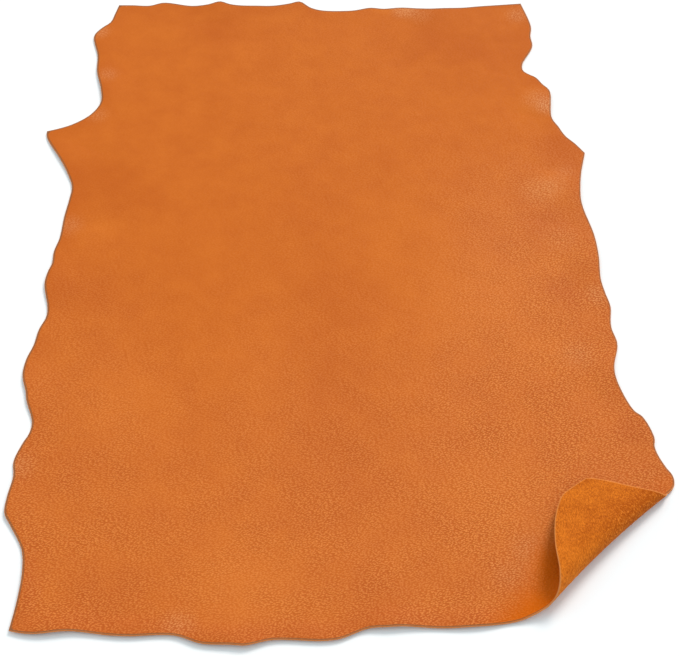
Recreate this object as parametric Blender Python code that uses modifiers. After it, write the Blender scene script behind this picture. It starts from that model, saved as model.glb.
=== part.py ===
"""A tanned skin laid out flat, grain side up, with one corner curled back over itself.

The skin is one cut piece: a sheet of even thickness with a wavy trimmed rim.
It rests on z = 0, +Y runs towards the neck and the origin is under the middle.
All sizes are in metres.
"""
import math

import bpy
import numpy as np
from mathutils import Vector
from mathutils.geometry import delaunay_2d_cdt

MM = 0.001

# Driving dimensions of the sheet
SKIN_THICKNESS = 1.6 * MM
RIM_STEP = 6.0 * MM
RIM_BAND = 44.0 * MM
RIM_PITCH = 15.0 * MM
BODY_PITCH = 30.0 * MM
LEAST_GAP = 6.5 * MM

# Driving dimensions of the curled corner
FOLD_BEARING = math.radians(45.0)
FOLD_REACH = 392.0 * MM
FOLD_BOW = 0.45
CURL_TURN = math.radians(192.0)
CURL_EASE = 0.5
CURL_SAMPLES = 400
CURL_ROWS = 14
CURL_PITCH = 12.0 * MM
FLAP_PITCH = 9.0 * MM
FLAP_ROWS = 6

# Skin taken up by the curl, in millimetres.
# Columns: place along the fold, length of skin in the curl.
CURL_LENGTHS = [
    (-137, 86),
    (111, 23),
]

# Rim of the opened-out skin between its real corners, in millimetres.
# Columns: x to the right of the spine, y towards the neck.
LEFT_FLANK = [
    (-316, -379), (-312, -345), (-311, -315), (-315, -288), (-330, -259), (-337, -246),
    (-337, -226), (-334, -200), (-336, -181), (-330, -159), (-324, -144), (-323, -130),
    (-332, -102), (-340, -69), (-339, -46), (-330, -4), (-324, 14), (-324, 28),
    (-331, 62), (-330, 82), (-321, 142), (-316, 195), (-316, 216), (-324, 240),
    (-334, 261), (-355, 301), (-356, 311),
]
LEFT_NECK = [
    (-356, 311), (-327, 324), (-306, 340), (-295, 362), (-297, 386), (-305, 420),
    (-307, 450), (-315, 486), (-311, 495), (-295, 515), (-288, 547),
]
NECK = [
    (-288, 547), (-248, 547), (-230, 553), (-192, 546), (-172, 549), (-156, 556),
    (-132, 548), (-87, 548), (-66, 552), (-52, 556), (-38, 544), (-22, 538),
    (16, 538), (40, 543), (57, 541), (80, 544), (118, 542), (184, 547), (237, 552),
]
RIGHT_NECK = [
    (237, 552), (246, 506), (245, 468), (231, 434), (231, 421), (246, 409),
    (261, 382), (260, 334), (273, 303), (295, 273),
]
RIGHT_FLANK = [
    (295, 273), (287, 236), (284, 198), (293, 140), (294, 70), (300, 29), (299, 9),
    (303, -24), (296, -57), (297, -76), (311, -115), (319, -124), (328, -152),
    (329, -172), (341, -198), (342, -208), (338, -217), (333, -225), (334, -236),
    (336, -248), (342, -266), (350, -286), (356, -304), (357, -312),
]
BUTT = [
    (357, -312), (352, -319), (343, -330), (335, -339), (317, -346), (298, -352),
    (269, -358), (241, -360), (204, -362), (182, -366), (150, -373), (108, -376),
    (46, -375), (27, -377), (0, -389), (-16, -391), (-63, -389), (-90, -395),
    (-132, -394), (-158, -385), (-202, -384), (-256, -380), (-289, -383), (-316, -379),
]
RIM_RUNS = [LEFT_FLANK, LEFT_NECK, NECK, RIGHT_NECK, RIGHT_FLANK, BUTT]

# Places where the rim stands a little off the surface, in millimetres.
# Columns: x, y, lift at the top of the wave, reach of the wave.
RIM_WAVES = [
    (-299, 392, 2.2, 56),
    (-338, 258, 2.6, 58),
    (-332, 64, 2.0, 54),
    (-338, -86, 2.2, 56),
    (-338, -238, 2.0, 52),
    (-262, -382, 1.4, 46),
    (-98, -396, 1.8, 56),
    (58, -377, 1.4, 50),
    (261, 366, 2.6, 58),
    (285, 206, 2.2, 52),
    (295, 96, 2.2, 50),
    (298, -66, 1.8, 50),
    (326, -142, 1.4, 40),
    (-157, 556, 1.6, 48),
    (118, 544, 1.6, 50),
]


def rim_run(rows, step):
    """Centripetal Catmull-Rom curve through a run of rim points, without its last point."""
    knots = np.array(rows, dtype=float) * MM
    before = 2 * knots[0] - knots[1]
    after = 2 * knots[-1] - knots[-2]
    knots = np.vstack([before, knots, after])
    pieces = []
    for p0, p1, p2, p3 in zip(knots, knots[1:], knots[2:], knots[3:]):
        t1 = math.sqrt(np.linalg.norm(p1 - p0))
        t2 = t1 + math.sqrt(np.linalg.norm(p2 - p1))
        t3 = t2 + math.sqrt(np.linalg.norm(p3 - p2))
        count = max(1, round(np.linalg.norm(p2 - p1) / step))
        t = np.linspace(t1, t2, count, endpoint=False)[:, None]
        a1 = ((t1 - t) * p0 + t * p1) / t1
        a2 = ((t2 - t) * p1 + (t - t1) * p2) / (t2 - t1)
        a3 = ((t3 - t) * p2 + (t - t2) * p3) / (t3 - t2)
        b1 = ((t2 - t) * a1 + t * a2) / t2
        b2 = ((t3 - t) * a2 + (t - t1) * a3) / (t3 - t1)
        pieces.append(((t2 - t) * b1 + (t - t1) * b2) / (t2 - t1))
    return np.vstack(pieces)


def rim_distance(points, rim):
    """Shortest distance from each point to the closed rim."""
    span = np.roll(rim, -1, axis=0) - rim
    offset = points[:, None, :] - rim[None, :, :]
    share = np.clip((offset * span).sum(2) / (span * span).sum(1), 0.0, 1.0)
    return np.linalg.norm(offset - share[:, :, None] * span, axis=2).min(axis=1)


def inside_rim(points, rim):
    """True for each point that the closed rim surrounds, by counting crossings."""
    x, y = points[:, :1], points[:, 1:]
    x1, y1 = rim[:, 0], rim[:, 1]
    x2, y2 = np.roll(x1, -1), np.roll(y1, -1)
    spans = (y1 > y) != (y2 > y)
    rise = np.where(y2 == y1, 1.0, y2 - y1)
    crossing = x1 + (y - y1) * (x2 - x1) / rise
    return (spans & (x < crossing)).sum(axis=1) % 2 == 1


def staggered_lattice(rim, pitch):
    """Staggered lattice of points over the rectangle around the rim."""
    low, high = rim.min(axis=0), rim.max(axis=0)
    rows = np.arange(low[1], high[1], pitch * math.sqrt(0.75))
    columns = np.arange(low[0], high[0], pitch)
    x, y = np.meshgrid(columns, rows)
    x[1::2] += pitch / 2
    return np.column_stack([x.ravel(), y.ravel()])


def fold_axes():
    """Unit vectors along the fold and outwards across it, seen from above."""
    along = np.array([math.cos(FOLD_BEARING), math.sin(FOLD_BEARING)])
    across = np.array([math.sin(FOLD_BEARING), -math.cos(FOLD_BEARING)])
    return along, across


def curl_profile():
    """Reach and rise of a curl of unit length, which bends most in its middle."""
    t = np.linspace(0.0, 1.0, CURL_SAMPLES)
    turn = CURL_TURN * (t - CURL_EASE * np.sin(2 * math.pi * t) / (2 * math.pi))
    step = t[1] - t[0]
    reach = np.concatenate([[0.0], np.cumsum(np.cos(turn[1:]) + np.cos(turn[:-1]))]) * step / 2
    rise = np.concatenate([[0.0], np.cumsum(np.sin(turn[1:]) + np.sin(turn[:-1]))]) * step / 2
    return t, reach, rise


def curl_length(along):
    """Length of skin in the curl at a place along the fold."""
    stations = np.array(CURL_LENGTHS) * MM
    return np.interp(along, stations[:, 0], stations[:, 1])


def curl_start(along):
    """Distance across the fold at which the skin leaves the surface; the fold bows a little."""
    widest = curl_profile()[1].max()
    return FOLD_REACH + FOLD_BOW * along ** 2 - widest * curl_length(along)


def rim_lift(points):
    """Height of the rim waves, each a cosine bell about its own place."""
    height = np.zeros(len(points))
    for x, y, lift, reach in RIM_WAVES:
        away = np.hypot(points[:, 0] - x * MM, points[:, 1] - y * MM)
        share = np.clip(away / (reach * MM), 0.0, 1.0)
        height += lift * MM * (1 + np.cos(math.pi * share)) / 2
    return height


def lay(points):
    """Carry points of the opened-out skin to where they lie, as x, y and z."""
    along_axis, across_axis = fold_axes()
    along = points @ along_axis
    length = curl_length(along)
    start = curl_start(along)
    past = points @ across_axis - start
    t, reach, rise = curl_profile()
    share = np.clip(past / length, 0.0, 1.0)
    flap = np.maximum(past - length, 0.0)
    across = start + np.minimum(past, 0.0)
    across += np.interp(share, t, reach) * length + flap * math.cos(CURL_TURN)
    height = np.interp(share, t, rise) * length + flap * math.sin(CURL_TURN)
    flat = np.outer(along, along_axis) + np.outer(across, across_axis)
    return np.column_stack([flat, height + rim_lift(points)])


def curl_rows():
    """Points of the opened-out skin in rows along the fold, through the curl and the flap."""
    along_axis, across_axis = fold_axes()
    first, last = (station[0] * MM for station in CURL_LENGTHS)
    along = np.arange(first - 3 * CURL_PITCH, last + CURL_PITCH, CURL_PITCH)
    rows = []
    for share in np.linspace(0.0, 1.0, CURL_ROWS):
        rows.append((along, curl_start(along) + share * curl_length(along)))
    for row in range(1, FLAP_ROWS + 1):
        rows.append((along, curl_start(along) + curl_length(along) + row * FLAP_PITCH))
    return np.vstack([np.outer(a, along_axis) + np.outer(b, across_axis) for a, b in rows])


def sheet_points(rim):
    """Points inside the rim: wide in the body, closer by the rim and in the curl."""
    body = staggered_lattice(rim, BODY_PITCH)
    body = body[rim_distance(body, rim) > RIM_BAND]
    band = staggered_lattice(rim, RIM_PITCH)
    away = rim_distance(band, rim)
    band = band[(away > LEAST_GAP) & (away < RIM_BAND - RIM_PITCH / 2)]
    flat = np.vstack([body, band])
    along_axis, across_axis = fold_axes()
    flat = flat[flat @ across_axis < curl_start(flat @ along_axis) - LEAST_GAP]
    curled = curl_rows()
    curled = curled[rim_distance(curled, rim) > LEAST_GAP / 2]
    points = np.vstack([flat, curled])
    return points[inside_rim(points, rim)]


def opened_skin():
    """Vertices and triangles of the skin before it is laid down."""
    rim = np.vstack([rim_run(rows, RIM_STEP) for rows in RIM_RUNS])
    points = np.vstack([rim, sheet_points(rim)])
    count = len(rim)
    edges = [(index, (index + 1) % count) for index in range(count)]
    flat = [Vector(point) for point in points]
    vertices, _, faces, *_ = delaunay_2d_cdt(flat, edges, [], 1, 1e-6)
    return np.array([tuple(vertex) for vertex in vertices]), faces


def leather(name, colour, roughness):
    """Plain leather finish with its colour and roughness."""
    material = bpy.data.materials.new(name)
    material.use_nodes = True
    shader = material.node_tree.nodes["Principled BSDF"]
    shader.inputs["Base Color"].default_value = (*colour, 1.0)
    shader.inputs["Roughness"].default_value = roughness
    shader.inputs["Metallic"].default_value = 0.0
    return material


def middle_of(skin):
    """Middle of the finished skin's box, seen from above."""
    bpy.context.view_layer.update()
    finished = skin.evaluated_get(bpy.context.evaluated_depsgraph_get())
    corners = np.array([tuple(corner) for corner in finished.bound_box])
    x, y, _ = (corners.min(axis=0) + corners.max(axis=0)) / 2
    return x, y


def build_skin(collection):
    """One sheet: the flesh side is drawn and the thickness stands on it."""
    flat, faces = opened_skin()
    mesh = bpy.data.meshes.new("hide")
    mesh.from_pydata(lay(flat).tolist(), [], faces)
    mesh.materials.append(leather("tan_leather", (0.645, 0.168, 0.032), 0.55))
    mesh.shade_smooth()
    skin = bpy.data.objects.new("hide", mesh)
    collection.objects.link(skin)
    wall = skin.modifiers.new("thickness", "SOLIDIFY")
    wall.thickness = SKIN_THICKNESS
    wall.offset = 1.0
    wall.use_even_offset = True
    x, y = middle_of(skin)
    for vertex in mesh.vertices:
        vertex.co.x -= x
        vertex.co.y -= y
    return skin


def main():
    """Clear the scene and build the skin."""
    for old in list(bpy.data.objects):
        bpy.data.objects.remove(old)
    collection = bpy.data.collections.new("leather_hide")
    bpy.context.scene.collection.children.link(collection)
    build_skin(collection)


main()
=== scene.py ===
"""Looks of a tanned skin laid flat with one corner curled back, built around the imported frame.

The skin is a function of the opened-out sheet. A point has a place (x, y) on the flat skin and a
height above its flesh side, and the curl and the waves of the rim carry it to where it lies.
"""
import logging
import math
from dataclasses import dataclass
from enum import Enum, IntEnum

import bpy
import numpy as np
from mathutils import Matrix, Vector


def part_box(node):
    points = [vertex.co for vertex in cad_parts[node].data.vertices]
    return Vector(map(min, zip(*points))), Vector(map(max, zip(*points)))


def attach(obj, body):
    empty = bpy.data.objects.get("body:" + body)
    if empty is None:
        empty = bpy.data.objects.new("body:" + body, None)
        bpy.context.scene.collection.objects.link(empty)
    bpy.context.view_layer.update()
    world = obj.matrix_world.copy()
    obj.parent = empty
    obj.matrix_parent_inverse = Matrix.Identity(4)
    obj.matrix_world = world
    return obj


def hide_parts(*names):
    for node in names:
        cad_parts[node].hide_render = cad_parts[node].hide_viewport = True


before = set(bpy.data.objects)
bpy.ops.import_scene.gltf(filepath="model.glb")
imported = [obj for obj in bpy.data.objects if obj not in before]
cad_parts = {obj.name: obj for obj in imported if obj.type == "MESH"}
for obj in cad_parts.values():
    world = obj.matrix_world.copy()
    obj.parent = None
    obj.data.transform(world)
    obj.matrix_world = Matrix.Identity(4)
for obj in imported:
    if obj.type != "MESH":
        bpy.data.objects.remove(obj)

LOG = logging.getLogger("skin")
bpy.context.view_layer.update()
MM = 0.001

# Distances in front of the middle over which the flanks pass into the butt.
BUTT_ZONE = (270 * MM, 350 * MM)

# Rim of the opened-out skin between its real corners, in millimetres.
# Columns: x to the right of the spine, y towards the neck.
LEFT_FLANK = (
    (-316, -380), (-312, -345), (-311, -315), (-315, -288), (-330, -259), (-337, -246),
    (-337, -226), (-334, -200), (-336, -181), (-330, -159), (-324, -144), (-323, -130),
    (-332, -102), (-334, -91), (-340, -69), (-339, -46), (-333, -25), (-330, -4),
    (-324, 14), (-324, 28), (-331, 62), (-329, 82), (-326, 93), (-326, 113),
    (-322, 132), (-321, 144), (-320, 168), (-317, 195), (-316, 216), (-324, 240), (-334, 261),
    (-355, 301), (-356, 311),
)
LEFT_NECK = (
    (-356, 311), (-341, 316), (-326, 323), (-306, 340), (-295, 362), (-297, 386),
    (-305, 420), (-307, 450), (-315, 486), (-312, 495), (-304, 506), (-296, 515),
    (-292, 531), (-288, 549),
)
NECK = (
    (-288, 549), (-270, 549), (-248, 548), (-230, 554), (-192, 547), (-172, 549),
    (-156, 555), (-144, 550), (-132, 548), (-110, 548), (-87, 548), (-66, 552),
    (-52, 556), (-38, 544), (-22, 538), (16, 538), (40, 544), (57, 542), (80, 544),
    (102, 541), (118, 540), (140, 542), (162, 544), (184, 547), (237, 552),
)
RIGHT_NECK = (
    (237, 552), (247, 506), (245, 487), (246, 468), (231, 434), (231, 421), (238, 414),
    (246, 408), (253, 395), (261, 382), (260, 334), (267, 319), (274, 303), (285, 289),
    (295, 273),
)
RIGHT_FLANK = (
    (295, 273), (287, 236), (283, 198), (284, 183), (293, 140), (295, 105), (294, 70),
    (297, 50), (301, 29), (299, 9), (299, -2), (303, -24), (296, -57), (297, -76),
    (311, -115), (319, -124), (328, -152), (327, -162), (329, -172), (336, -189),
    (341, -198), (342, -208), (339, -217), (333, -225), (334, -236), (336, -248),
    (342, -266), (350, -286), (356, -304), (357, -312),
)
BUTT = (
    (357, -312), (352, -319), (343, -330), (334, -340), (317, -348), (298, -354),
    (269, -359), (241, -360), (204, -362), (190, -365), (176, -369), (160, -372),
    (140, -375), (108, -377), (62, -376), (46, -377), (27, -378), (0, -389), (-16, -391), (-63, -390),
    (-90, -397), (-102, -396), (-132, -394), (-158, -385), (-202, -386), (-220, -385), (-256, -381),
    (-289, -384), (-303, -383), (-316, -380),
)

# Places where the rim stands a little off the surface, in millimetres.
# Columns: x, y, reach of the wave, lift at its top.
RIM_WAVES = (
    (-299, 392, 56, 1.4),
    (-338, 258, 58, 1.6),
    (-332, 64, 54, 1.4),
    (-338, -86, 56, 1.6),
    (-338, -238, 52, 1.5),
    (-262, -382, 46, 1.4),
    (-98, -396, 56, 1.8),
    (58, -377, 50, 1.4),
    (261, 366, 58, 2.6),
    (285, 206, 52, 2.2),
    (295, 96, 50, 2.2),
    (298, -66, 50, 1.8),
    (326, -142, 40, 1.4),
    (-157, 556, 48, 1.6),
    (118, 544, 50, 1.6),
)

# Soft swells of a skin that has been rolled and laid out again.
# Columns: wavelength and height in millimetres, bearing and phase in degrees.
SWELLS = (
    (148, 0.30, 22, 40),
    (97, 0.22, 104, 200),
    (71, 0.14, 58, 310),
    (53, 0.10, 151, 95),
)

# Soft troughs in the grain side, in millimetres.
# Columns: x and y of each end, width, depth.
TROUGHS = (
    (-250, 505, -120, 516, 9, 0.30),
    (-235, 470, -90, 486, 11, 0.25),
    (-30, 512, 90, 500, 9, 0.25),
    (120, 488, 225, 470, 10, 0.30),
    (170, 425, 232, 412, 8, 0.30),
    (190, 352, 262, 330, 12, 0.45),
    (205, 262, 288, 236, 12, 0.45),
    (198, 168, 288, 150, 12, 0.45),
    (208, 70, 296, 48, 12, 0.40),
    (196, -20, 298, -24, 12, 0.35),
    (-330, 290, -262, 268, 10, 0.40),
    (-318, 158, -250, 150, 11, 0.35),
    (-330, -28, -262, -10, 11, 0.35),
    (-328, -170, -258, -150, 11, 0.35),
    (-200, -384, -186, -318, 12, 0.35),
    (-20, -390, -12, -330, 12, 0.30),
)

# Places where the tone differs: uneven dye, and painted light and shade.
# Columns: x, y and reach in millimetres, tone from darker (below zero) to lighter.
DYE_AND_PAINTED_LIGHT_PATCHES = (
    (-20, 200, 95, -0.22),
    (-12, 110, 90, -0.22),
    (-6, 30, 80, -0.40),
    (-2, -60, 80, -0.34),
    (-6, -135, 85, -0.36),
    (-4, -205, 90, -0.40),
    (150, 40, 120, 0.62),
    (60, 140, 120, 0.30),
    (-298, 232, 60, -0.45),
    (-262, 205, 90, -0.42),
    (-292, 55, 60, -0.60),
    (-239, 41, 60, -0.30),
    (-264, 152, 36, 0.60),
    (-158, 508, 60, -0.55),
    (120, 478, 95, -0.50),
    (195, 462, 90, -0.45),
    # Painted highlight where the neck's rim catches the light.
    (57, 541, 24, 1.00),
    (84, 540, 20, 0.80),
    # Painted light and shade on the sides of the right rim's waves, in the next six rows.
    (236, 358, 40, 0.45),
    (266, 277, 42, -0.90),
    (246, 213, 44, 0.40),
    (239, 161, 40, -0.62),
    (246, 104, 38, 0.45),
    (253, 56, 38, -0.55),
    (225, -38, 60, 0.55),
    # Painted shade below a wave of the right rim.
    (306, -139, 34, -0.90),
    (163, -228, 80, 0.70),
    # Painted light in the shadow beside the flap.
    (214, -262, 34, 0.80),
    (208, -304, 34, 0.80),
    (-95, -320, 80, 0.70),
    (-227, -344, 60, -0.55),
    (-287, -191, 55, -0.40),
    (-222, -107, 75, 0.55),
    (-102, -52, 75, 0.20),
    (34, -344, 55, -0.45),
)

# Places where the grain stands open and painted glints make its pebbles paler on top; at the neck, a
# painted highlight on the rim.
# Columns: x, y and reach in millimetres, strength.
OPEN_GRAIN_GLINT_PATCHES = (
    # Painted highlight on the neck's rim.
    (84, 540, 24, 0.80),
    (104, 530, 26, 0.30),
    (231, 529, 24, 0.45),
    (-313, 154, 24, 0.35),
    (246, 366, 30, 0.45),
    (257, 353, 22, 0.70),
    (236, 209, 34, 0.30),
    (254, 218, 24, 0.25),
    (268, 240, 20, 0.20),
    (252, 132, 30, 0.16),
    (-308, 496, 19, 0.60),
    (-291, 413, 20, 0.40),
    (-297, 340, 20, 0.35),
    (-331, -186, 26, 0.40),
    (288, 47, 22, 0.40),
    (259, -40, 30, 0.30),
    (187, -287, 28, 0.35),
    (165, -317, 26, 0.25),
    (-155, -373, 24, 0.40),
)


class Facing(IntEnum):
    """Which surface of the sheet a face belongs to, and its material's place in the list."""

    GRAIN = 0
    FLESH = 1
    CUT = 2


class Maths(Enum):
    """What one step of maths does with its values."""

    ADD = "ADD"
    SUBTRACT = "SUBTRACT"
    MULTIPLY = "MULTIPLY"
    MULTIPLY_ADD = "MULTIPLY_ADD"


@dataclass(frozen=True)
class Ramp:
    """Smooth step: values from low to high are carried to values from first to last."""

    low: float
    high: float
    first: float = 0.0
    last: float = 1.0

    def at(self, value: np.ndarray) -> np.ndarray:
        """Carries values up the ramp.

        Args:
            value: values to carry.

        Returns:
            first + (last - first) * (3 t^2 - 2 t^3), where t runs from 0 at low to 1 at high.
        """
        share = np.clip((value - self.low) / (self.high - self.low), 0.0, 1.0)
        return self.first + (self.last - self.first) * share * share * (3 - 2 * share)


@dataclass(frozen=True)
class Cloud:
    """Cloudy pattern: size of its clouds in metres, number of finer layers and their strength."""

    size: float
    detail: float = 2.0
    roughness: float = 0.5


def bell(distance: np.ndarray, reach: float) -> np.ndarray:
    """Cosine bell: one at the middle, falling smoothly to nothing at the reach.

    Args:
        distance: distance of each point from the middle.
        reach: distance at which the bell ends.

    Returns:
        (1 + cos(pi * distance / reach)) / 2, and zero past the reach.
    """
    share = np.clip(distance / reach, 0.0, 1.0)
    return (1 + np.cos(math.pi * share)) / 2


def bells(flat: np.ndarray, rows: tuple) -> np.ndarray:
    """Sum of cosine bells about a list of places.

    Args:
        flat: points of the opened-out skin.
        rows: x, y and reach of each bell in millimetres, and its top.

    Returns:
        The sum at each point.
    """
    total = np.zeros(len(flat))
    for x, y, reach, top in rows:
        away = np.hypot(flat[:, 0] - x * MM, flat[:, 1] - y * MM)
        total += top * bell(away, reach * MM)
    return total


def running_total(values: np.ndarray) -> np.ndarray:
    """Running sum, from nothing, of the means of neighbouring values."""
    return np.concatenate([[0.0], np.cumsum((values[1:] + values[:-1]) / 2)])


def rounded_run(rows: tuple, step: float) -> np.ndarray:
    """Centripetal Catmull-Rom curve through a run of rim points.

    Between two knots the curve blends the straight lines through its four nearest knots, each
    weighted by the square root of the distances between them.

    Args:
        rows: knots in millimetres.
        step: distance between the points of the curve, in metres.

    Returns:
        Points of the curve in metres, with both ends.
    """
    knots = np.array(rows, dtype=float) * MM
    knots = np.vstack([2 * knots[0] - knots[1], knots, 2 * knots[-1] - knots[-2]])
    pieces = []
    for p0, p1, p2, p3 in zip(knots, knots[1:], knots[2:], knots[3:]):
        t1 = math.sqrt(np.linalg.norm(p1 - p0))
        t2 = t1 + math.sqrt(np.linalg.norm(p2 - p1))
        t3 = t2 + math.sqrt(np.linalg.norm(p3 - p2))
        count = max(2, round(np.linalg.norm(p2 - p1) / step))
        t = np.linspace(t1, t2, count, endpoint=False)[:, None]
        a1 = ((t1 - t) * p0 + t * p1) / t1
        a2 = ((t2 - t) * p1 + (t - t1) * p2) / (t2 - t1)
        a3 = ((t3 - t) * p2 + (t - t2) * p3) / (t3 - t2)
        b1 = ((t2 - t) * a1 + t * a2) / t2
        b2 = ((t3 - t) * a2 + (t - t1) * a3) / (t3 - t1)
        pieces.append(((t2 - t) * b1 + (t - t1) * b2) / (t2 - t1))
    return np.vstack([*pieces, knots[-2:-1]])


@dataclass
class Side:
    """One side of the four-sided sheet, with the real corner that it may have along it."""

    points: np.ndarray
    corner: np.ndarray | None = None

    def shares(self) -> np.ndarray:
        """Measures how far along the side each of its points lies.

        Returns:
            Share of the side's length at each point, from 0 to 1.
        """
        steps = np.linalg.norm(np.diff(self.points, axis=0), axis=1)
        length = np.concatenate([[0.0], np.cumsum(steps)])
        return length / length[-1]

    def at(self, places: np.ndarray) -> np.ndarray:
        """Points at given shares of the side's length, one of them set on the corner.

        Args:
            places: rising shares from 0 to 1.

        Returns:
            A point for each share.
        """
        shares = self.shares()
        if self.corner is not None:
            exact = shares[np.linalg.norm(self.points - self.corner, axis=1).argmin()]
            near = places[np.abs(places - exact).argmin()]
            places = np.interp(places, [0.0, near, 1.0], [0.0, exact, 1.0])
        x = np.interp(places, shares, self.points[:, 0])
        y = np.interp(places, shares, self.points[:, 1])
        return np.column_stack([x, y])


@dataclass
class Outline:
    """The trimmed rim of the opened-out skin and the grid of points that it spans."""

    step: float = 1.0 * MM
    rows: int = 262
    columns: int = 178
    samples: int = 4001
    # How many times closer the points lie in the curled corner, over the share of each side.
    row_density: Ramp = Ramp(0.19, 0.33, 2.3, 1.0)
    column_density: Ramp = Ramp(0.27, 0.42, 2.3, 1.0)

    def sides(self) -> dict:
        """Draws the four sides.

        Returns:
            The sides by name, each from left to right or from the butt to the neck.
        """
        left = [rounded_run(LEFT_FLANK, self.step), rounded_run(LEFT_NECK, self.step)[1:]]
        right = [rounded_run(RIGHT_NECK, self.step), rounded_run(RIGHT_FLANK, self.step)[1:]]
        return {
            "left": Side(np.vstack(left), np.array(LEFT_NECK[0]) * MM),
            "right": Side(np.vstack(right)[::-1], np.array(RIGHT_FLANK[0]) * MM),
            "butt": Side(rounded_run(BUTT, self.step)[::-1]),
            "neck": Side(rounded_run(NECK, self.step)),
        }

    def packed(self, count: int, density: Ramp) -> np.ndarray:
        """Shares from 0 to 1 that lie closer together where the density is higher.

        Args:
            count: number of steps.
            density: how close together they lie, over the share.

        Returns:
            count + 1 rising shares: the inverse of the running total of the density.
        """
        fine = np.linspace(0.0, 1.0, self.samples)
        total = running_total(density.at(fine))
        return np.interp(np.linspace(0.0, 1.0, count + 1), total / total[-1], fine)

    def grid(self) -> np.ndarray:
        """Coons patch: each pair of facing sides is blended, less the blend of the corners.

        Returns:
            Array of rows by columns by 2, from the butt's left corner.
        """
        sides = self.sides()
        v = self.packed(self.rows, self.row_density)
        u = 1 - self.packed(self.columns, self.column_density)[::-1]
        left, right = sides["left"].at(v), sides["right"].at(v)
        butt, neck = sides["butt"].at(u), sides["neck"].at(u)
        v, u = v[:, None, None], u[None, :, None]
        across = (1 - u) * left[:, None] + u * right[:, None]
        along = (1 - v) * butt[None] + v * neck[None]
        low = (1 - u) * left[0] + u * right[0]
        high = (1 - u) * left[-1] + u * right[-1]
        return across + along - (1 - v) * low - v * high


@dataclass
class Curl:
    """The front right corner, curled back over the skin about a slanting fold."""

    bearing: float = math.radians(45.0)
    fold_reach: float = 392.0 * MM
    fold_bow: float = 0.45
    turn: float = math.radians(192.0)
    ease_in: float = 0.5
    samples: int = 2000
    # Two stations along the fold, and the length of the skin in the curl at each.
    stations: tuple = (-137 * MM, 111 * MM)
    lengths: tuple = (86 * MM, 23 * MM)
    # Where warm bounce light is painted into the flap's shade: over the share of the curl, then over
    # the station on the fold.
    bounce_from: Ramp = Ramp(-0.35, 0.25)
    bounce_until: Ramp = Ramp(0.90, 1.30, 1.0, 0.0)
    bounce_early: Ramp = Ramp(-100 * MM, -60 * MM, 0.0, 0.35)
    bounce_along: Ramp = Ramp(-80 * MM, 40 * MM, 1.0, 0.20)
    # Painted shading of the nap, over the same two measures: painted light where the curl is wide,
    # painted shade where it is tight.
    shading_from: Ramp = Ramp(0.05, 0.45)
    shading_until: Ramp = Ramp(0.60, 1.45, 1.0, 0.0)
    shading_along: Ramp = Ramp(-105 * MM, 50 * MM, -0.08, 0.175)

    def __post_init__(self) -> None:
        """Works out the axes of the fold and the profile of a curl of unit length."""
        self.along_axis = np.array([math.cos(self.bearing), math.sin(self.bearing)])
        self.across_axis = np.array([math.sin(self.bearing), -math.cos(self.bearing)])
        self.passed = np.linspace(0.0, 1.0, self.samples)
        eased = self.ease_in * np.sin(2 * math.pi * self.passed) / (2 * math.pi)
        turned = self.turn * (self.passed - eased)
        self.reach = running_total(np.cos(turned)) / (self.samples - 1)
        self.rise = running_total(np.sin(turned)) / (self.samples - 1)

    def past_start(self, flat: np.ndarray) -> tuple:
        """How far each point lies past the line where the skin leaves the surface.

        Args:
            flat: points of the opened-out skin.

        Returns:
            Station on the fold, length of the curl there, its start and the distance past it.
        """
        along = flat @ self.along_axis
        length = np.interp(along, self.stations, self.lengths)
        start = self.fold_reach + self.fold_bow * along ** 2 - self.reach.max() * length
        return along, length, start, flat @ self.across_axis - start

    def share(self, flat: np.ndarray) -> np.ndarray:
        """Share of the curl passed at each point: below 0 on the flat, above 1 on the flap."""
        _, length, _, past = self.past_start(flat)
        return past / length

    def painted_bounce(self, flat: np.ndarray) -> np.ndarray:
        """Painted warm bounce light in the shade beside the flap, most where the curl is wide.

        Args:
            flat: points of the opened-out skin.

        Returns:
            A smooth step up at the curl's start and down past it, times one along the fold.
        """
        along, length, _, past = self.past_start(flat)
        share = past / length
        zone = self.bounce_from.at(share + self.bounce_early.at(along)) * self.bounce_until.at(share)
        return zone * self.bounce_along.at(along)

    def bend(self, flat: np.ndarray) -> np.ndarray:
        """Painted shade on the nap where the curl is tight, and painted light where it is wide.

        Args:
            flat: points of the opened-out skin.

        Returns:
            A smooth bump over the curl times a smooth step along the fold.
        """
        along, length, _, past = self.past_start(flat)
        share = past / length
        return self.shading_from.at(share) * self.shading_until.at(share) * self.shading_along.at(along)

    def lay(self, flat: np.ndarray) -> np.ndarray:
        """Carries flat points through the curl.

        Before its start a point stays where it is. In the curl it follows the integrals of the
        cosine and sine of the turn, and past it the skin runs straight on at the full turn.

        Args:
            flat: points of the opened-out skin.

        Returns:
            Points in space, with the flesh side of the flat skin at z = 0.
        """
        along, length, start, past = self.past_start(flat)
        share = np.clip(past / length, 0.0, 1.0)
        flap = np.maximum(past - length, 0.0)
        across = start + np.minimum(past, 0.0)
        across += np.interp(share, self.passed, self.reach) * length + flap * math.cos(self.turn)
        height = np.interp(share, self.passed, self.rise) * length + flap * math.sin(self.turn)
        place = np.outer(along, self.along_axis) + np.outer(across, self.across_axis)
        return np.column_stack([place, height])


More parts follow.
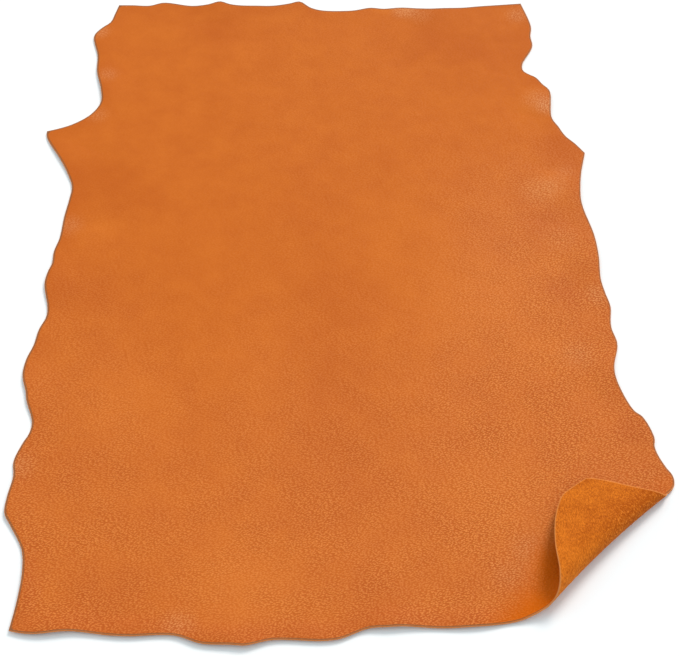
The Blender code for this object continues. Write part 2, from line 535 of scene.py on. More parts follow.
@dataclass
class Relief:
    """Unevenness of the skin: waves of its rim, soft swells of the sheet and troughs in the grain."""

    trough_wander: float = 2.2 * MM
    wander_length: float = 34.0 * MM
    trough_reach: float = 0.62
    # Rise of the rim, from the flanks to the butt, with a slow wave in it.
    rim_rise: Ramp = Ramp(*BUTT_ZONE, 0.5 * MM, 3.3 * MM)
    rim_fall: Ramp = Ramp(0.0, 26.0 * MM, 1.0, 0.0)
    wave_length: float = 83.0 * MM
    wave_size: float = 0.35
    wave_phase: float = 1.1
    wave_squeeze: float = 0.8
    # Where the curl takes the unevenness out of the skin, over its share.
    rise_until: Ramp = Ramp(0.0, 0.5, 1.0, 0.0)
    swell_until: Ramp = Ramp(-0.6, 0.1, 1.0, 0.0)

    def rise(self, flat: np.ndarray, away: np.ndarray, curled: np.ndarray) -> np.ndarray:
        """Height by which the dried rim lifts, most at the butt: a smooth step times a slow wave.

        Args:
            flat: points of the opened-out skin.
            away: distance of each point from the rim.
            curled: share of the curl passed at each point.

        Returns:
            A height for each point, nothing in the curl and past the reach.
        """
        turns = 2 * math.pi * flat / self.wave_length
        wave = np.sin(turns[:, 0] + self.wave_phase) * np.cos(self.wave_squeeze * turns[:, 1])
        top = self.rim_rise.at(-flat[:, 1]) * (1 - self.wave_size + self.wave_size * wave)
        return top * self.rise_until.at(curled) * self.rim_fall.at(away)

    def lift(self, flat: np.ndarray, curled: np.ndarray) -> np.ndarray:
        """Height of the whole sheet off the surface: the rim's bells and the sum of the swells.

        Args:
            flat: points of the opened-out skin.
            curled: share of the curl passed at each point.

        Returns:
            A height for each point, never below zero.
        """
        height = MM * bells(flat, RIM_WAVES)
        still = self.swell_until.at(curled)
        for length, size, bearing, phase in SWELLS:
            angle = math.radians(bearing)
            run = flat[:, 0] * math.cos(angle) + flat[:, 1] * math.sin(angle)
            wave = np.sin(2 * math.pi * run / (length * MM) + math.radians(phase))
            height += still * size * MM * (1 + wave) / 2
        return height

    def troughs(self, flat: np.ndarray) -> np.ndarray:
        """Depth of the grain's troughs: a wandering line with a bell across and a bell along it.

        Args:
            flat: points of the opened-out skin.

        Returns:
            A height for each point, at most zero.
        """
        wander = self.trough_wander * np.sin(flat[:, ::-1] / self.wander_length * 2 * math.pi)
        moved = flat + wander
        depth = np.zeros(len(flat))
        for x1, y1, x2, y2, width, deep in TROUGHS:
            start, end = np.array([x1, y1]) * MM, np.array([x2, y2]) * MM
            length = np.linalg.norm(end - start)
            axis = (end - start) / length
            along = (moved - start) @ axis
            across = (moved - start) @ np.array([-axis[1], axis[0]])
            ends = bell(np.abs(along - length / 2), length * self.trough_reach)
            depth -= deep * MM * bell(np.abs(across), width * MM) * ends
        return depth


@dataclass
class Openness:
    """How open the grain is: close over the neck, looser towards the butt and the flanks."""

    least: float = 0.08
    most: float = 1.1
    spine: Ramp = Ramp(40 * MM, 200 * MM, 0.16, 0.0)
    butt: Ramp = Ramp(-300 * MM, 150 * MM, 0.62, 0.0)
    right: Ramp = Ramp(50 * MM, 220 * MM, 0.0, 0.82)
    right_until: Ramp = Ramp(100 * MM, 400 * MM, 1.0, 0.0)
    left: Ramp = Ramp(120 * MM, 300 * MM, 0.0, 0.28)
    left_until: Ramp = Ramp(0 * MM, 300 * MM, 1.0, 0.0)

    def at(self, flat: np.ndarray) -> np.ndarray:
        """Measures the openness.

        Args:
            flat: places on the flat skin.

        Returns:
            A sum of smooth steps: over the spine, towards the butt and towards each flank.
        """
        x, y = flat[:, 0], flat[:, 1]
        total = self.least + self.spine.at(np.abs(x)) + self.butt.at(y)
        total += self.right.at(x) * self.right_until.at(y)
        total += self.left.at(-x) * self.left_until.at(y)
        return np.clip(total, 0.0, self.most)


@dataclass
class Skin:
    """The whole skin as one closed sheet: grain side, flesh side and the cut edge between them."""

    name: str = "tanned_skin"
    thickness: float = 1.6 * MM
    probe: float = 0.25 * MM
    block_size: int = 2000
    trough_margin: Ramp = Ramp(0.0, 8 * MM)
    # Painted shade at the rim, from the flanks to the butt, and how it fades inwards.
    rim_painted_shade: Ramp = Ramp(*BUTT_ZONE, -0.35, -1.20)
    rim_painted_shade_fall: Ramp = Ramp(0.0, 30 * MM, 1.0, 0.0)
    # Cut edge from the grain to the flesh. Columns: inset from the rim, share of the thickness.
    edge_profile: tuple = (
        (0.55 * MM, 1.00),
        (0.14 * MM, 0.94),
        (0.00 * MM, 0.74),
        (0.00 * MM, 0.24),
        (0.16 * MM, 0.00),
    )

    def __post_init__(self) -> None:
        """Takes the outline, the curl and the unevenness that shape the skin."""
        self.outline = Outline()
        self.curl = Curl()
        self.relief = Relief()
        self.openness = Openness()
        self.shift = np.zeros(3)

    def base(self, flat: np.ndarray) -> np.ndarray:
        """Flesh side of the skin where it lies.

        Args:
            flat: places on the flat skin.

        Returns:
            The curl's point for each place, with the lift of the sheet added to its height.
        """
        laid = self.curl.lay(flat)
        laid[:, 2] += self.relief.lift(flat, self.curl.share(flat))
        return laid

    def normals(self, flat: np.ndarray) -> np.ndarray:
        """Directions straight out of the skin, towards the grain.

        Args:
            flat: places on the flat skin.

        Returns:
            Unit vectors: the cross product of two short differences about each place.
        """
        step_x, step_y = np.array([self.probe, 0.0]), np.array([0.0, self.probe])
        run_x = self.base(flat + step_x) - self.base(flat - step_x)
        run_y = self.base(flat + step_y) - self.base(flat - step_y)
        normal = np.cross(run_x, run_y)
        return normal / np.linalg.norm(normal, axis=1, keepdims=True)

    def place(self, flat: np.ndarray, height: np.ndarray) -> np.ndarray:
        """Carries points of the opened-out skin to where they lie.

        Args:
            flat: places on the flat skin.
            height: height of each above the flesh side.

        Returns:
            The flesh side's point plus the height along its normal.
        """
        return self.base(flat) + self.normals(flat) * height[:, None]

    def index(self) -> np.ndarray:
        """Number of each point of the grid, by row and column."""
        rows, columns = self.outline.rows + 1, self.outline.columns + 1
        return np.arange(rows * columns).reshape(rows, columns)

    def ring(self) -> np.ndarray:
        """Goes once round the grid's rim.

        Returns:
            Numbers of its points, anticlockwise seen from above, from the butt's left corner.
        """
        index = self.index()
        return np.concatenate([
            index[0, :-1], index[:-1, -1], index[-1, :0:-1], index[:0:-1, 0],
        ])

    @staticmethod
    def outward(rim: np.ndarray) -> np.ndarray:
        """Directions out of a closed rim.

        Args:
            rim: points of the rim, anticlockwise.

        Returns:
            Unit vectors: the rim's direction at each point, turned a quarter to the right.
        """
        run = np.roll(rim, -1, axis=0) - np.roll(rim, 1, axis=0)
        out = np.column_stack([run[:, 1], -run[:, 0]])
        return out / np.linalg.norm(out, axis=1, keepdims=True)

    def rim_distance(self, flat: np.ndarray, rim: np.ndarray) -> np.ndarray:
        """Measures how far points lie from the rim, a block of them at a time.

        Args:
            flat: places on the flat skin.
            rim: points of the rim.

        Returns:
            Distance of each place from the nearest point of the rim.
        """
        gaps = []
        for block in np.array_split(flat, max(1, len(flat) // self.block_size)):
            gaps.append(np.linalg.norm(block[:, None] - rim[None], axis=2).min(axis=1))
        return np.concatenate(gaps)

    def layers(self) -> tuple:
        """Points of the two sides and of the edge between them.

        Returns:
            Places on the flat skin, heights above the flesh side and distances from the rim.
        """
        grid = self.outline.grid().reshape(-1, 2)
        ring = self.ring()
        rim = grid[ring]
        out = self.outward(rim)
        away = self.rim_distance(grid, rim)
        sides = []
        for inset, _ in (self.edge_profile[0], self.edge_profile[-1]):
            side = grid.copy()
            side[ring] = rim - inset * out
            sides.append(side)
        glint_mask = self.thickness + self.relief.troughs(grid) * self.trough_margin.at(away)
        heights = [glint_mask, np.zeros(len(grid))]
        aways = [away, away]
        for inset, share in self.edge_profile[1:-1]:
            sides.append(rim - inset * out)
            heights.append(np.full(len(rim), share * self.thickness))
            aways.append(np.zeros(len(rim)))
        return np.vstack(sides), np.concatenate(heights), np.concatenate(aways)

    def faces(self) -> tuple:
        """Four-sided faces of the sheet and the surface that each belongs to.

        Returns:
            Array of faces, and a Facing for each.
        """
        index = self.index()
        cells = [index[:-1, :-1], index[:-1, 1:], index[1:, 1:], index[1:, :-1]]
        grain = np.stack([cell.ravel() for cell in cells], axis=1)
        flesh = grain[:, ::-1] + index.size
        ring = self.ring()
        middle = range(len(self.edge_profile) - 2)
        edges = [2 * index.size + k * len(ring) + np.arange(len(ring)) for k in middle]
        rings = [ring, *edges, ring + index.size]
        strips = []
        for upper, lower in zip(rings, rings[1:]):
            corners = [upper, lower, np.roll(lower, -1), np.roll(upper, -1)]
            strips.append(np.stack(corners, axis=1))
        cut = np.vstack(strips)
        facing = np.repeat([Facing.GRAIN, Facing.FLESH, Facing.CUT],
                           [len(grain), len(flesh), len(cut)])
        return np.vstack([grain, flesh, cut]), facing

    def surface_values(self, flat: np.ndarray, away: np.ndarray) -> dict:
        """What the finishes need to know about each point.

        Args:
            flat: places on the flat skin.
            away: distance of each from the rim.

        Returns:
            Arrays by name. The tone is darker near the rim by painted shade, with a bell about each
            patch of dye and of painted light and shade, and the grain stands more open in the glint
            patches.
        """
        rim_shade_tone = self.rim_painted_shade.at(-flat[:, 1]) * self.rim_painted_shade_fall.at(away)
        open_grain_painted_glint = bells(flat, OPEN_GRAIN_GLINT_PATCHES)
        return {
            "rim": away,
            "bend": self.curl.bend(flat),
            "painted_bounce": self.curl.painted_bounce(flat),
            "tone": rim_shade_tone + bells(flat, DYE_AND_PAINTED_LIGHT_PATCHES),
            "openness": self.openness.at(flat) + open_grain_painted_glint,
            "open_grain_painted_glint": open_grain_painted_glint,
        }

    def build(self) -> bpy.types.Object:
        """Makes the skin's mesh in the frame's place, with its surface attributes.

        Returns:
            The skin's object, at the origin, with its place in its mesh.
        """
        flat, height, away = self.layers()
        faces, facing = self.faces()
        points = self.place(flat, height)
        points[:, 2] += self.relief.rise(flat, away, self.curl.share(flat))
        self.shift = self.frame_shift(points)
        mesh = bpy.data.meshes.new(self.name)
        mesh.from_pydata((points + self.shift).tolist(), [], faces.tolist())
        mesh.polygons.foreach_set("material_index", facing.astype(np.int32))
        mesh.polygons.foreach_set("use_smooth", np.ones(len(faces), dtype=bool))
        self.write_vector(mesh, "flat", np.column_stack([flat, height]))
        for name, values in self.surface_values(flat, away).items():
            self.write_value(mesh, name, values)
        self.write_chart(mesh, flat)
        mesh.update()
        skin = bpy.data.objects.new(self.name, mesh)
        bpy.context.scene.collection.objects.link(skin)
        return skin

    @staticmethod
    def frame_shift(points: np.ndarray) -> np.ndarray:
        """Brings the middle of the points to the middle of the CAD node.

        Args:
            points: points of the skin in space.

        Returns:
            The shift, sideways only.
        """
        low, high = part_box("hide")
        middle = (np.array(low) + np.array(high)) / 2
        shift = middle - (points.min(axis=0) + points.max(axis=0)) / 2
        return np.array([shift[0], shift[1], 0.0])

    @staticmethod
    def write_vector(mesh: bpy.types.Mesh, name: str, values: np.ndarray) -> None:
        """Stores a vector for each vertex."""
        attribute = mesh.attributes.new(name, "FLOAT_VECTOR", "POINT")
        attribute.data.foreach_set("vector", values.astype(np.float32).ravel())

    @staticmethod
    def write_value(mesh: bpy.types.Mesh, name: str, values: np.ndarray) -> None:
        """Stores a number for each vertex."""
        attribute = mesh.attributes.new(name, "FLOAT", "POINT")
        attribute.data.foreach_set("value", values.astype(np.float32))

    @staticmethod
    def write_chart(mesh: bpy.types.Mesh, flat: np.ndarray) -> None:
        """Stores the opened-out skin as the mesh's UV chart, in metres.

        Args:
            mesh: mesh of the skin.
            flat: place of each vertex on the flat skin.
        """
        chart = mesh.uv_layers.new(name="opened_out")
        corners = np.empty(len(mesh.loops), dtype=np.int32)
        mesh.loops.foreach_get("vertex_index", corners)
        chart.data.foreach_set("uv", flat[corners].astype(np.float32).ravel())

    def cut_size(self) -> tuple:
        """Measures the skin opened out flat.

        Returns:
            Width, length and area, the area by the shoelace sum.
        """
        rim = self.outline.grid().reshape(-1, 2)[self.ring()]
        x, y = rim[:, 0], rim[:, 1]
        area = abs(x @ np.roll(y, -1) - y @ np.roll(x, -1)) / 2
        width, length = np.ptp(rim, axis=0)
        return float(width), float(length), float(area)


# What a socket is fed with: another socket, a number, or a vector or colour.
Feed = bpy.types.NodeSocket | float | tuple


class Recipe:
    """A finish's node tree, put together one node at a time."""

    noise_middle = 0.5
    # Places of the colours among a mixing node's sockets.
    mix_under = 6
    mix_top = 7
    mix_result = 2

    def __init__(self, name: str) -> None:
        """Starts a material with a Principled shader and nothing feeding it.

        Args:
            name: name of the material.
        """
        self.material = bpy.data.materials.new(name)
        self.material.use_nodes = True
        self.nodes = self.material.node_tree.nodes
        self.links = self.material.node_tree.links
        self.nodes.clear()
        self.shader = self.nodes.new("ShaderNodeBsdfPrincipled")
        output = self.nodes.new("ShaderNodeOutputMaterial")
        self.links.new(self.shader.outputs["BSDF"], output.inputs["Surface"])

    def feed(self, socket: bpy.types.NodeSocket, value: Feed) -> None:
        """Sets a socket to a number, vector or colour, or links another socket to it.

        Args:
            socket: socket that is fed.
            value: what it is fed with, a colour as three parts.
        """
        if isinstance(value, bpy.types.NodeSocket):
            self.links.new(value, socket)
        elif socket.type == "RGBA":
            socket.default_value = (*value, 1.0)
        else:
            socket.default_value = value

    def surface(self, name: str, value: Feed) -> None:
        """Feeds one of the shader's own sockets."""
        self.feed(self.shader.inputs[name], value)

    def attribute(self, name: str, output: str = "Fac") -> bpy.types.NodeSocket:
        """Reads one of the mesh's own attributes.

        Args:
            name: name of the attribute.
            output: Fac for a number, Vector for a vector.

        Returns:
            The attribute's socket.
        """
        node = self.nodes.new("ShaderNodeAttribute")
        node.attribute_name = name
        return node.outputs[output]

    def step(self, kind: str, operation: Maths, values: tuple) -> bpy.types.NodeSocket:
        """One step of maths.

        Args:
            kind: type of node, for numbers or for vectors.
            operation: what is done.
            values: what it is done to, in order.

        Returns:
            The result.
        """
        node = self.nodes.new(kind)
        node.operation = operation.value
        for socket, value in zip(node.inputs, values):
            self.feed(socket, value)
        return node.outputs[0]

    def maths(self, operation: Maths, *values: Feed) -> bpy.types.NodeSocket:
        """One step of maths on numbers."""
        return self.step("ShaderNodeMath", operation, values)

    def vector_maths(self, operation: Maths, *values: Feed) -> bpy.types.NodeSocket:
        """One step of maths on vectors, part by part."""
        return self.step("ShaderNodeVectorMath", operation, values)

    def times(self, first: Feed, second: Feed) -> bpy.types.NodeSocket:
        """Product of two numbers."""
        return self.maths(Maths.MULTIPLY, first, second)

    def noise(self, place: Feed, cloud: Cloud) -> bpy.types.NodeSocket:
        """Cloudy pattern on the flat skin.

        Args:
            place: socket with the place on the skin, in metres.
            cloud: sizes of the pattern.

        Returns:
            The pattern's strength.
        """
        node = self.nodes.new("ShaderNodeTexNoise")
        self.feed(node.inputs["Vector"], place)
        self.feed(node.inputs["Scale"], 1 / cloud.size)
        self.feed(node.inputs["Detail"], cloud.detail)
        self.feed(node.inputs["Roughness"], cloud.roughness)
        return node.outputs["Fac"]

    def cells(self, place: Feed, size: float) -> bpy.types.NodeSocket:
        """Cell pattern on the flat skin.

        Args:
            place: socket with the place on the skin, in metres.
            size: size of a cell in metres.

        Returns:
            The distance from the middle of the cell, in cells.
        """
        node = self.nodes.new("ShaderNodeTexVoronoi")
        node.voronoi_dimensions = "2D"
        node.feature = "F1"
        self.feed(node.inputs["Vector"], place)
        self.feed(node.inputs["Scale"], 1 / size)
        return node.outputs["Distance"]

    def spread(self, value: Feed, ramp: Ramp) -> bpy.types.NodeSocket:
        """Carries values up a ramp.

        Args:
            value: values to carry.
            ramp: smooth step from its low and high to its first and last.

        Returns:
            The carried values.
        """
        node = self.nodes.new("ShaderNodeMapRange")
        node.interpolation_type = "SMOOTHSTEP"
        self.feed(node.inputs["Value"], value)
        self.feed(node.inputs["From Min"], ramp.low)
        self.feed(node.inputs["From Max"], ramp.high)
        self.feed(node.inputs["To Min"], ramp.first)
        self.feed(node.inputs["To Max"], ramp.last)
        return node.outputs["Result"]

    def wandering(self, place: Feed, cloud: Cloud, strength: float) -> bpy.types.NodeSocket:
        """Place moved about by a noise, so that a pattern on it isn't even.

        Args:
            place: socket with the place on the skin.
            cloud: sizes of the noise.
            strength: how far it moves, in metres.

        Returns:
            place + strength * (noise - its middle).
        """
        noise = self.noise(place, cloud).node.outputs["Color"]
        centred = self.vector_maths(Maths.SUBTRACT, noise, (self.noise_middle,) * 3)
        return self.vector_maths(Maths.MULTIPLY_ADD, centred, (strength,) * 3, place)

    def turned(self, place: Feed, angle: float) -> bpy.types.NodeSocket:
        """Turns a place about the origin of the flat skin.

        Args:
            place: socket with the place on the skin.
            angle: angle in radians, anticlockwise.

        Returns:
            The turned place.
        """
        node = self.nodes.new("ShaderNodeVectorRotate")
        node.rotation_type = "Z_AXIS"
        self.feed(node.inputs["Vector"], place)
        self.feed(node.inputs["Angle"], angle)
        return node.outputs[0]

    def scaled(self, place: Feed, factors: tuple) -> bpy.types.NodeSocket:
        """Place multiplied along each axis, so that a pattern on it is stretched out."""
        return self.vector_maths(Maths.MULTIPLY, place, factors)

    def over(self, share: Feed, under: Feed, top: Feed) -> bpy.types.NodeSocket:
        """Lays one colour over another by a share.

        Args:
            share: how much of the top colour shows, from 0 to 1.
            under: colour below.
            top: colour above.

        Returns:
            The mixed colour.
        """
        node = self.nodes.new("ShaderNodeMix")
        node.data_type = "RGBA"
        self.feed(node.inputs["Factor"], share)
        self.feed(node.inputs[self.mix_under], under)
        self.feed(node.inputs[self.mix_top], top)
        return node.outputs[self.mix_result]

    def bump(self, height: Feed, depth: float) -> None:
        """Raises the surface by a pattern.

        Args:
            height: pattern of the height.
            depth: height in metres where the pattern is 1.
        """
        node = self.nodes.new("ShaderNodeBump")
        self.feed(node.inputs["Strength"], 1.0)
        self.feed(node.inputs["Distance"], depth)
        self.feed(node.inputs["Height"], height)
        self.surface("Normal", node.outputs["Normal"])


@dataclass(frozen=True)
class GrainFinish:
    """Dyed grain side: fine rounded pebbles with creases between them and a low sheen."""

    name: str = "tan_grain"
    light: tuple = (0.630, 0.154, 0.0130)
    deep: tuple = (0.511, 0.104, 0.0065)
    # Painted shade in the creases between the pebbles.
    crease: tuple = (0.330, 0.044, 0.0010)
    # Painted glints on the pebbles' domes.
    top: tuple = (0.840, 0.275, 0.0550)
    # Painted shade of the cut edge, as a dark line on the grain along the rim.
    painted_rim_line_shade: tuple = (0.230, 0.100, 0.0400)
    # Painted warm bounce light for the shade beside the flap.
    painted_bounce_colour: tuple = (0.620, 0.116, 0.0005)
    # Painted glint colour on the pebbles where the grain stands open in patches.
    open_grain_painted_glint: tuple = (0.740, 0.330, 0.1350)
    # The pebbles, stretched out a little across the skin, with a dome in each.
    pebble: float = 1.5 * MM
    wander: Cloud = Cloud(7 * MM)
    wander_reach: float = 2.6 * MM
    stretch: tuple = (0.50, 1.04, 1.0)
    slant: float = math.radians(-16.0)
    dome: Ramp = Ramp(0.15, 0.70, 1.0, 0.0)
    # The height: domes with fine wrinkles, soft swells, and a fall to the rim.
    pebble_depth: float = 0.26 * MM
    wrinkle: Cloud = Cloud(1.1 * MM, 3.0, 0.6)
    wrinkle_share: float = 0.45
    swell: Cloud = Cloud(11 * MM)
    swell_share: float = 0.9
    rim_fall: Ramp = Ramp(0.0, 3 * MM, 0.0, 0.8)
    # Large patches in which the grain is looser or closer.
    patch: Cloud = Cloud(42 * MM, 3.0, 0.6)
    looseness: Ramp = Ramp(0.36, 0.62, 0.62, 1.0)
    # The dye's clouds and patches of tone, painted shade in the creases, painted glints on the domes,
    # and the shares that the colours take.
    cloud: Cloud = Cloud(34 * MM, 5.0, 0.62)
    tone_share: float = 0.60
    dye: Ramp = Ramp(-0.15, 1.15)
    crease_shade_share: float = 0.28
    glint_dome: Ramp = Ramp(0.55, 1.0)
    dome_glint_share: float = 0.52
    patch_glint_share: Ramp = Ramp(0.55, 1.0, 0.18, 0.68)
    painted_bounce_share: float = 0.85
    painted_rim_line_share: Ramp = Ramp(0.8 * MM, 2.4 * MM, 0.85, 0.0)
    # The sheen: more on the domes and where the grain is open, less where warm bounce light is
    # painted beside the flap.
    roughness: Ramp = Ramp(0.2, 1.0, 0.66, 0.50)
    specular: Ramp = Ramp(0.1, 0.9, 0.095, 0.175)
    bounce_specular: Ramp = Ramp(0.0, 1.0, 1.0, 0.27)

    def material(self) -> bpy.types.Material:
        """Builds the finish.

        Returns:
            The finished material.
        """
        recipe = Recipe(self.name)
        flat = recipe.attribute("flat", "Vector")
        uneven = recipe.turned(recipe.wandering(flat, self.wander, self.wander_reach), self.slant)
        cells = recipe.cells(recipe.scaled(uneven, self.stretch), self.pebble)
        dome = recipe.spread(cells, self.dome)
        patches = recipe.spread(recipe.noise(flat, self.patch), self.looseness)
        openness = recipe.times(patches, recipe.attribute("openness"))
        recipe.bump(self.height(recipe, flat, dome, openness), self.pebble_depth)
        recipe.surface("Base Color", self.colour(recipe, flat, dome, openness))
        recipe.surface("Roughness", recipe.spread(dome, self.roughness))
        specular = recipe.spread(recipe.attribute("openness"), self.specular)
        # Less sheen where the bounce light is painted, so that the painted colour stays deep orange.
        kept = recipe.spread(recipe.attribute("painted_bounce"), self.bounce_specular)
        recipe.surface("Specular IOR Level", recipe.times(specular, kept))
        return recipe.material

    def height(self, recipe: Recipe, flat: Feed, dome: Feed,
               openness: Feed) -> bpy.types.NodeSocket:
        """Height of the grain: a dome with fine wrinkles over the middle of each uneven cell.

        Domes and wrinkles fade where the skin is close-grained. Soft swells run under them, and
        the grain falls away a little at the rim.

        Args:
            recipe: tree being built.
            flat: place on the skin.
            dome: how far each point is up its dome, from 0 in the crease to 1 on top.
            openness: how open the grain is.

        Returns:
            The height, in parts of the pebble's depth.
        """
        wrinkles = recipe.noise(flat, self.wrinkle)
        body = recipe.maths(Maths.MULTIPLY_ADD, wrinkles, self.wrinkle_share, dome)
        swells = recipe.noise(flat, self.swell)
        pebbled = recipe.times(body, openness)
        height = recipe.maths(Maths.MULTIPLY_ADD, swells, self.swell_share, pebbled)
        return recipe.maths(Maths.ADD, height, recipe.spread(recipe.attribute("rim"), self.rim_fall))

    def colour(self, recipe: Recipe, flat: Feed, dome: Feed,
               openness: Feed) -> bpy.types.NodeSocket:
        """Colour of the dye: clouds and patches of tone, with painted shade in the creases, painted
        glints on the domes and a painted shade line at the rim.

        Painted glints make the domes paler in patches of open grain. Beside the flap a richer
        orange is painted into the shade as warm bounce light.

        Args:
            recipe: tree being built.
            flat: place on the skin.
            dome: how far each point is up its dome, from 0 in the crease to 1 on top.
            openness: how open the grain is.

        Returns:
            The colour.
        """
        clouds = recipe.noise(flat, self.cloud)
        tone = recipe.attribute("tone")
        tone = recipe.maths(Maths.MULTIPLY_ADD, tone, self.tone_share, clouds)
        dye = recipe.over(recipe.spread(tone, self.dye), self.deep, self.light)
        # Painted shade in the creases.
        dip = recipe.times(recipe.maths(Maths.SUBTRACT, 1.0, dome), openness)
        crease_shaded = recipe.over(recipe.times(dip, self.crease_shade_share), dye, self.crease)
        # Painted glints on the domes.
        glint_mask = recipe.times(recipe.spread(dome, self.glint_dome), openness)
        glinted = recipe.over(recipe.times(glint_mask, self.dome_glint_share), crease_shaded, self.top)
        # Painted glints on the domes in the patches of open grain.
        pale = recipe.times(recipe.attribute("open_grain_painted_glint"), recipe.spread(dome, self.patch_glint_share))
        patch_glinted = recipe.over(pale, glinted, self.open_grain_painted_glint)
        # Warm bounce light painted into the shade beside the flap.
        painted_bounce = recipe.times(recipe.attribute("painted_bounce"), self.painted_bounce_share)
        smooth = recipe.over(painted_bounce, patch_glinted, self.painted_bounce_colour)
        # Painted shade line along the rim.
        near = recipe.spread(recipe.attribute("rim"), self.painted_rim_line_share)
        return recipe.over(near, smooth, self.painted_rim_line_shade)


@dataclass(frozen=True)
class SuedeFinish:
    """Flesh side: a short brushed nap that lies this way and that."""

    name: str = "tan_suede"
    light: tuple = (0.735, 0.192, 0.012)
    deep: tuple = (0.380, 0.070, 0.001)
    fibre_end: tuple = (0.760, 0.270, 0.065)
    # Short fibres, brushed one way, and the clumps that they gather in.
    nap_depth: float = 0.60 * MM
    fibre: Cloud = Cloud(1.6 * MM, 4.0, 0.8)
    fibre_wander: Cloud = Cloud(3 * MM)
    fibre_wander_reach: float = 1.6 * MM
    brush: tuple = (0.60, 1.20, 1.0)
    fibre_tone: float = 1.40
    clump: Cloud = Cloud(4.2 * MM, 3.0, 0.6)
    clump_wander: Cloud = Cloud(5 * MM)
    clump_wander_reach: float = 2 * MM
    clump_height: float = 1.2
    clump_tone: float = 0.25
    # Large patches in which the nap was brushed another way.
    brushed: Cloud = Cloud(18 * MM, 4.0, 0.6)
    brushed_tone: float = 0.40
    # Longer fibres across the fold, which show where the curl opens the nap.
    loose: Cloud = Cloud(1.5 * MM, 3.0, 0.8)
    loose_turn: float = math.radians(45.0)
    loose_stretch: tuple = (0.50, 1.00, 1.0)
    loose_tone: Ramp = Ramp(0.00, 0.16, 0.0, 1.9)
    loose_end: Ramp = Ramp(0.02, 0.18)
    loose_end_share: Ramp = Ramp(0.00, 0.16, 0.08, 0.34)
    dye: Ramp = Ramp(0.77, 1.27)
    rim_share: Ramp = Ramp(0.6 * MM, 1.8 * MM, 0.7, 0.0)
    roughness: float = 0.92
    specular: float = 0.10
    sheen: float = 0.05
    sheen_roughness: float = 0.5
    sheen_tint: tuple = (0.95, 0.62, 0.36)

    def material(self) -> bpy.types.Material:
        """Builds the finish: brushed patches of nap over fine speckled fibre ends.

        Returns:
            The finished material.
        """
        recipe = Recipe(self.name)
        flat = recipe.attribute("flat", "Vector")
        uneven = recipe.wandering(flat, self.fibre_wander, self.fibre_wander_reach)
        fibres = recipe.noise(recipe.scaled(uneven, self.brush), self.fibre)
        gathered = recipe.wandering(flat, self.clump_wander, self.clump_wander_reach)
        clumps = recipe.noise(gathered, self.clump)
        height = recipe.maths(Maths.MULTIPLY_ADD, clumps, self.clump_height, fibres)
        recipe.bump(height, self.nap_depth)
        recipe.surface("Base Color", self.colour(recipe, flat, fibres, clumps))
        recipe.surface("Roughness", self.roughness)
        recipe.surface("Specular IOR Level", self.specular)
        recipe.surface("Sheen Weight", self.sheen)
        recipe.surface("Sheen Roughness", self.sheen_roughness)
        recipe.surface("Sheen Tint", self.sheen_tint)
        return recipe.material

    def colour(self, recipe: Recipe, flat: Feed, fibres: Feed,
               clumps: Feed) -> bpy.types.NodeSocket:
        """Colour of the nap: a tone summed from its patterns, with paler fibre ends over it.

        Where the curl is tight the nap opens and longer fibres show across the fold; there its
        tone is darker by painted shade, and where the curl is wide it is lighter by painted light.

        Args:
            recipe: tree being built.
            flat: place on the skin.
            fibres: pattern of the short fibres.
            clumps: pattern of the clumps.

        Returns:
            The colour.
        """
        bend = recipe.attribute("bend")
        across = recipe.scaled(recipe.turned(flat, self.loose_turn), self.loose_stretch)
        loose = recipe.noise(across, self.loose)
        loose = recipe.maths(Maths.SUBTRACT, loose, recipe.noise_middle)
        brushed = recipe.noise(flat, self.brushed)
        tone = recipe.times(fibres, self.fibre_tone)
        tone = recipe.maths(Maths.MULTIPLY_ADD, brushed, self.brushed_tone, tone)
        tone = recipe.maths(Maths.MULTIPLY_ADD, clumps, self.clump_tone, tone)
        # Painted shading of the nap: darker where the curl is tight, lighter where it is wide.
        tone = recipe.maths(Maths.SUBTRACT, tone, bend)
        tone = recipe.maths(Maths.MULTIPLY_ADD, loose, recipe.spread(bend, self.loose_tone), tone)
        dyed = recipe.over(recipe.spread(tone, self.dye), self.deep, self.light)
        shown = recipe.times(recipe.spread(loose, self.loose_end),
                             recipe.spread(bend, self.loose_end_share))
        opened = recipe.over(shown, dyed, self.fibre_end)
        near = recipe.spread(recipe.attribute("rim"), self.rim_share)
        return recipe.over(near, opened, self.fibre_end)


@dataclass(frozen=True)
class CutFinish:
    """Knife-cut edge: pale packed fibres between the two dyed sides."""

    name: str = "tan_cut_edge"
    pale: tuple = (0.640, 0.215, 0.050)
    dyed: tuple = (0.570, 0.165, 0.028)
    fibre: Cloud = Cloud(0.5 * MM, 4.0, 0.7)
    fibre_depth: float = 0.25 * MM
    soaked: Ramp = Ramp(1.15 * MM, 1.6 * MM, 0.0, 0.8)
    patch: Cloud = Cloud(9 * MM, 3.0, 0.6)
    patch_share: Ramp = Ramp(0.45, 0.75, 0.0, 0.5)
    roughness: float = 0.85

    def material(self) -> bpy.types.Material:
        """Builds the finish: fine fibres, with the dye soaked in from the grain and in patches.

        Returns:
            The finished material.
        """
        recipe = Recipe(self.name)
        flat = recipe.attribute("flat", "Vector")
        split = recipe.nodes.new("ShaderNodeSeparateXYZ")
        recipe.feed(split.inputs[0], flat)
        soaked = recipe.spread(split.outputs["Z"], self.soaked)
        patches = recipe.spread(recipe.noise(flat, self.patch), self.patch_share)
        stain = recipe.maths(Maths.ADD, soaked, patches)
        stain.node.use_clamp = True
        recipe.surface("Base Color", recipe.over(stain, self.pale, self.dyed))
        recipe.surface("Roughness", self.roughness)
        recipe.bump(recipe.noise(flat, self.fibre), self.fibre_depth)
        return recipe.material


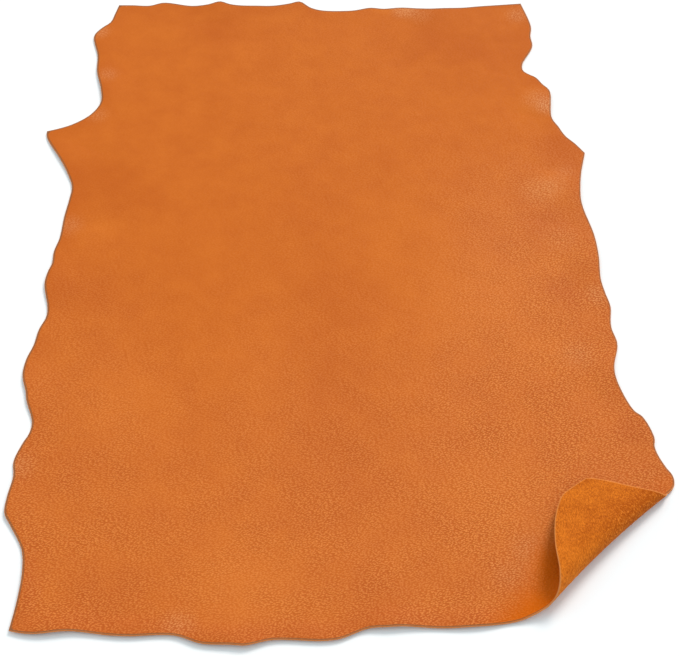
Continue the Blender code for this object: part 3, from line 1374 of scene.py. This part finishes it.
@dataclass
class Studio:
    """Plain pale floor, soft light and a camera that looks at the skin from the front."""

    target: np.ndarray
    distance: float = 1.87
    elevation: float = math.radians(50.0)
    focal_pixels: float = 1700.0
    frame_width: float = 679.0
    sensor: float = 36.0
    clip: tuple = (0.05, 50.0)
    floor_size: float = 24.0
    floor_gap: float = 0.2 * MM
    floor_colour: tuple = (0.91, 0.935, 0.945)
    floor_roughness: float = 0.9
    floor_specular: float = 0.1
    light_from: tuple = (0.95, 1.75, 1.75)
    light_strength: float = 1.90
    light_spread: float = math.radians(22.0)
    light_colour: tuple = (1.0, 0.875, 0.805)
    air_colour: tuple = (0.86, 0.96, 1.0)
    air_strength: float = 0.85

    def aimed(self, thing: bpy.types.Object, way: Vector) -> None:
        """Places a thing at a vector from the target, looking back at it.

        Args:
            thing: camera or light.
            way: vector from the target to the thing.
        """
        thing.location = Vector(self.target) + way
        thing.rotation_mode = "QUATERNION"
        thing.rotation_quaternion = (-way).to_track_quat("-Z", "Y")
        bpy.context.scene.collection.objects.link(thing)

    def camera(self) -> None:
        """Looks at the target from the front, from the given height above the surface."""
        data = bpy.data.cameras.new("camera")
        data.sensor_fit = "HORIZONTAL"
        data.sensor_width = self.sensor
        data.lens = self.sensor * self.focal_pixels / self.frame_width
        data.clip_start, data.clip_end = self.clip
        camera = bpy.data.objects.new("camera", data)
        back = Vector((0.0, -math.cos(self.elevation), math.sin(self.elevation)))
        self.aimed(camera, back * self.distance)
        bpy.context.scene.camera = camera

    def floor(self) -> None:
        """Lays one pale matt sheet under the skin."""
        half = self.floor_size / 2
        corners = [(-half, -half, 0), (half, -half, 0), (half, half, 0), (-half, half, 0)]
        mesh = bpy.data.meshes.new("floor")
        mesh.from_pydata(corners, [], [(0, 1, 2, 3)])
        floor = bpy.data.objects.new("floor", mesh)
        floor.location.z = -self.floor_gap
        recipe = Recipe("floor_paper")
        recipe.surface("Base Color", self.floor_colour)
        recipe.surface("Roughness", self.floor_roughness)
        recipe.surface("Specular IOR Level", self.floor_specular)
        mesh.materials.append(recipe.material)
        bpy.context.scene.collection.objects.link(floor)

    def softlight(self) -> None:
        """Aims one broad even light at the skin, from behind and to the right."""
        data = bpy.data.lights.new("softlight", "SUN")
        data.energy = self.light_strength
        data.angle = self.light_spread
        data.color = self.light_colour
        self.aimed(bpy.data.objects.new("softlight", data), Vector(self.light_from))

    def surroundings(self) -> None:
        """Fills the room with even pale light from all round."""
        world = bpy.data.worlds.new("studio")
        world.use_nodes = True
        background = world.node_tree.nodes["Background"]
        background.inputs["Color"].default_value = (*self.air_colour, 1.0)
        background.inputs["Strength"].default_value = self.air_strength
        bpy.context.scene.world = world

    def build(self) -> None:
        """Sets up the camera, the floor and the lights."""
        self.camera()
        self.floor()
        self.surroundings()
        self.softlight()
        bpy.context.scene.view_settings.view_transform = "Standard"


def main() -> None:
    logging.basicConfig(level=logging.INFO, format="%(name)s: %(message)s")
    skin = Skin()
    piece = skin.build()
    for finish in (GrainFinish(), SuedeFinish(), CutFinish()):
        piece.data.materials.append(finish.material())
    width, length, area = skin.cut_size()
    LOG.info("skin %.3f x %.3f m, %.3f square metres", width, length, area)
    LOG.info("faces %d", len(piece.data.polygons))
    Studio(target=skin.shift).build()
    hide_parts("hide")
    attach(piece, "root")


if __name__ == "__main__":
    main()
